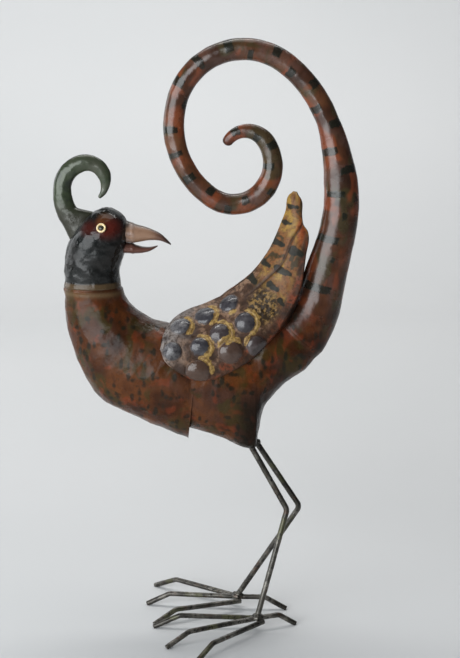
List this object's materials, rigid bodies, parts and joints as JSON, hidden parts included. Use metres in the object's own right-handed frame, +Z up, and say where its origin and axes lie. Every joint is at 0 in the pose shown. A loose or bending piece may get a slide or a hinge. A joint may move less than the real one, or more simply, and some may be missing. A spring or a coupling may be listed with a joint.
{
  "type": "pheasant sculpture",
  "caption": "Freestanding sheet metal pheasant with a looping curled tail, a crest, domed scale feathers and long rod toes, head turned back over its wing.",
  "frame": {"origin": "on the floor, under the middle of the whole bird", "axes": "+Z up, the breast faces -X, the tail rises at +X, the bird's left side faces -Y"},
  "size_m": [0.303, 0.208, 0.5991],
  "materials": {
    "dark_paint": "glossy",
    "red_brown_paint": "glossy",
    "tail_paint": "glossy",
    "crest_paint": "glossy",
    "horn_paint": "satin",
    "eye_paint": "satin",
    "wing_paint": "glossy",
    "bare_steel": "dark satin"
  },
  "bodies": {
    "root": {"head": "dark_paint", "breast": "red_brown_paint", "rump": "red_brown_paint", "tail": "tail_paint", "crest": "crest_paint", "upper_beak": "horn_paint", "lower_beak": "horn_paint", "left_eye": "eye_paint", "right_eye": "eye_paint", "left_wing": "wing_paint", "right_wing": "wing_paint", "left_leg": "bare_steel", "left_middle_toe": "bare_steel", "left_outer_toe": "bare_steel", "left_inner_toe": "bare_steel", "right_leg": "bare_steel", "right_middle_toe": "bare_steel", "right_outer_toe": "bare_steel", "right_inner_toe": "bare_steel"}
  },
  "joints": []
}
